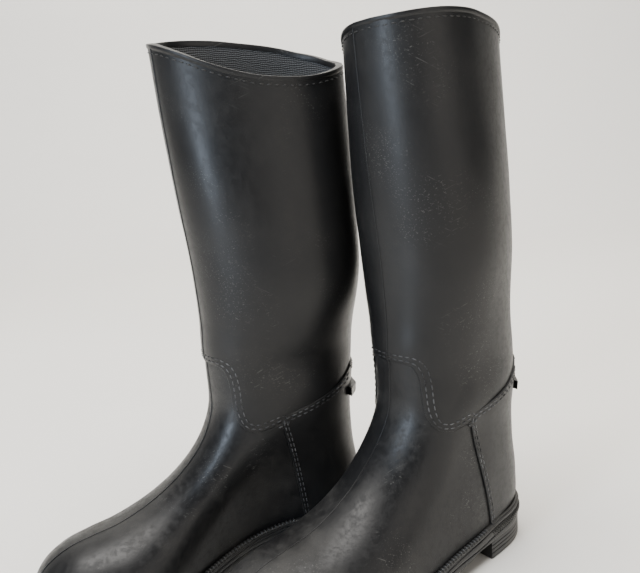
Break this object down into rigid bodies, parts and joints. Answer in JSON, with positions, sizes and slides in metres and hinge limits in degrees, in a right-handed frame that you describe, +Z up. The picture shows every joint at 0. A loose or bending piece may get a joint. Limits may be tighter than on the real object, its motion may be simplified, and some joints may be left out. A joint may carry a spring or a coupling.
{
  "type": "riding boots",
  "caption": "Pair of tall pull-on rubber riding boots with knit lining, panelled upper, ribbed welt, low block heel and spur rest.",
  "frame": {"origin": "middle of the pair's bounding box, on the floor", "axes": "+Z up, the left boot's toe towards -Y, the wearer's left boot on +X"},
  "size_m": [0.2278, 0.37, 0.41],
  "materials": {
    "upper_rubber": "semi-gloss black moulded rubber, lightly scuffed",
    "knit_lining": "dark grey knitted nylon",
    "sole_rubber": "satin black rubber, dusty in the grooves",
    "stiffener_sheet": "matt grey stiffening sheet",
    "shank_steel": "plain spring steel",
    "board_fibre": "pressed cellulose board",
    "insole_foam": "dark grey knit-topped foam"
  },
  "bodies": {
    "left_foot": {"left_vamp": "upper_rubber", "left_heel_counter": "upper_rubber", "left_spur_rest": "upper_rubber", "left_toe_stiffener": "stiffener_sheet", "left_heel_stiffener": "stiffener_sheet", "left_welt": "sole_rubber", "left_outsole": "sole_rubber", "left_heel_block": "sole_rubber", "left_heel_top_lift": "sole_rubber", "left_shank": "shank_steel", "left_insole_board": "board_fibre"},
    "left_shaft": {"left_shaft_panel": "upper_rubber", "left_top_binding": "upper_rubber", "left_knit_lining": "knit_lining"},
    "left_insole": {"left_insole": "insole_foam"},
    "right_foot": {"right_vamp": "upper_rubber", "right_heel_counter": "upper_rubber", "right_spur_rest": "upper_rubber", "right_toe_stiffener": "stiffener_sheet", "right_heel_stiffener": "stiffener_sheet", "right_welt": "sole_rubber", "right_outsole": "sole_rubber", "right_heel_block": "sole_rubber", "right_heel_top_lift": "sole_rubber", "right_shank": "shank_steel", "right_insole_board": "board_fibre"},
    "right_shaft": {"right_shaft_panel": "upper_rubber", "right_top_binding": "upper_rubber", "right_knit_lining": "knit_lining"},
    "right_insole": {"right_insole": "insole_foam"}
  },
  "joints": [
    {"name": "left_ankle_flex", "type": "hinge", "parent": "left_foot", "child": "left_shaft", "pos_m": [0.06225, 0.11697, 0.1], "axis": [1, 0, 0], "range_deg": [-8, 0], "stiffness_Nm_per_rad": 8, "deforming": ["left_shaft_panel", "left_knit_lining"]},
    {"name": "left_insole_lift", "type": "hinge", "parent": "left_foot", "child": "left_insole", "pos_m": [0.05625, -0.08603, 0.018], "axis": [1, 0, 0], "range_deg": [0, 5]},
    {"name": "right_boot_lift", "type": "slide", "parent": "left_foot", "child": "right_foot", "axis": [0, 0, 1], "range_m": [0, 0.35]},
    {"name": "right_ankle_flex", "type": "hinge", "parent": "right_foot", "child": "right_shaft", "pos_m": [-0.03758, 0.02711, 0.1], "axis": [0.9816, -0.1908, 0], "range_deg": [0, 12], "stiffness_Nm_per_rad": 8, "deforming": ["right_shaft_panel", "right_knit_lining"]},
    {"name": "right_insole_lift", "type": "hinge", "parent": "right_foot", "child": "right_insole", "pos_m": [-0.07042, -0.17331, 0.018], "axis": [0.9816, -0.1908, 0], "range_deg": [0, 5]}
  ]
}
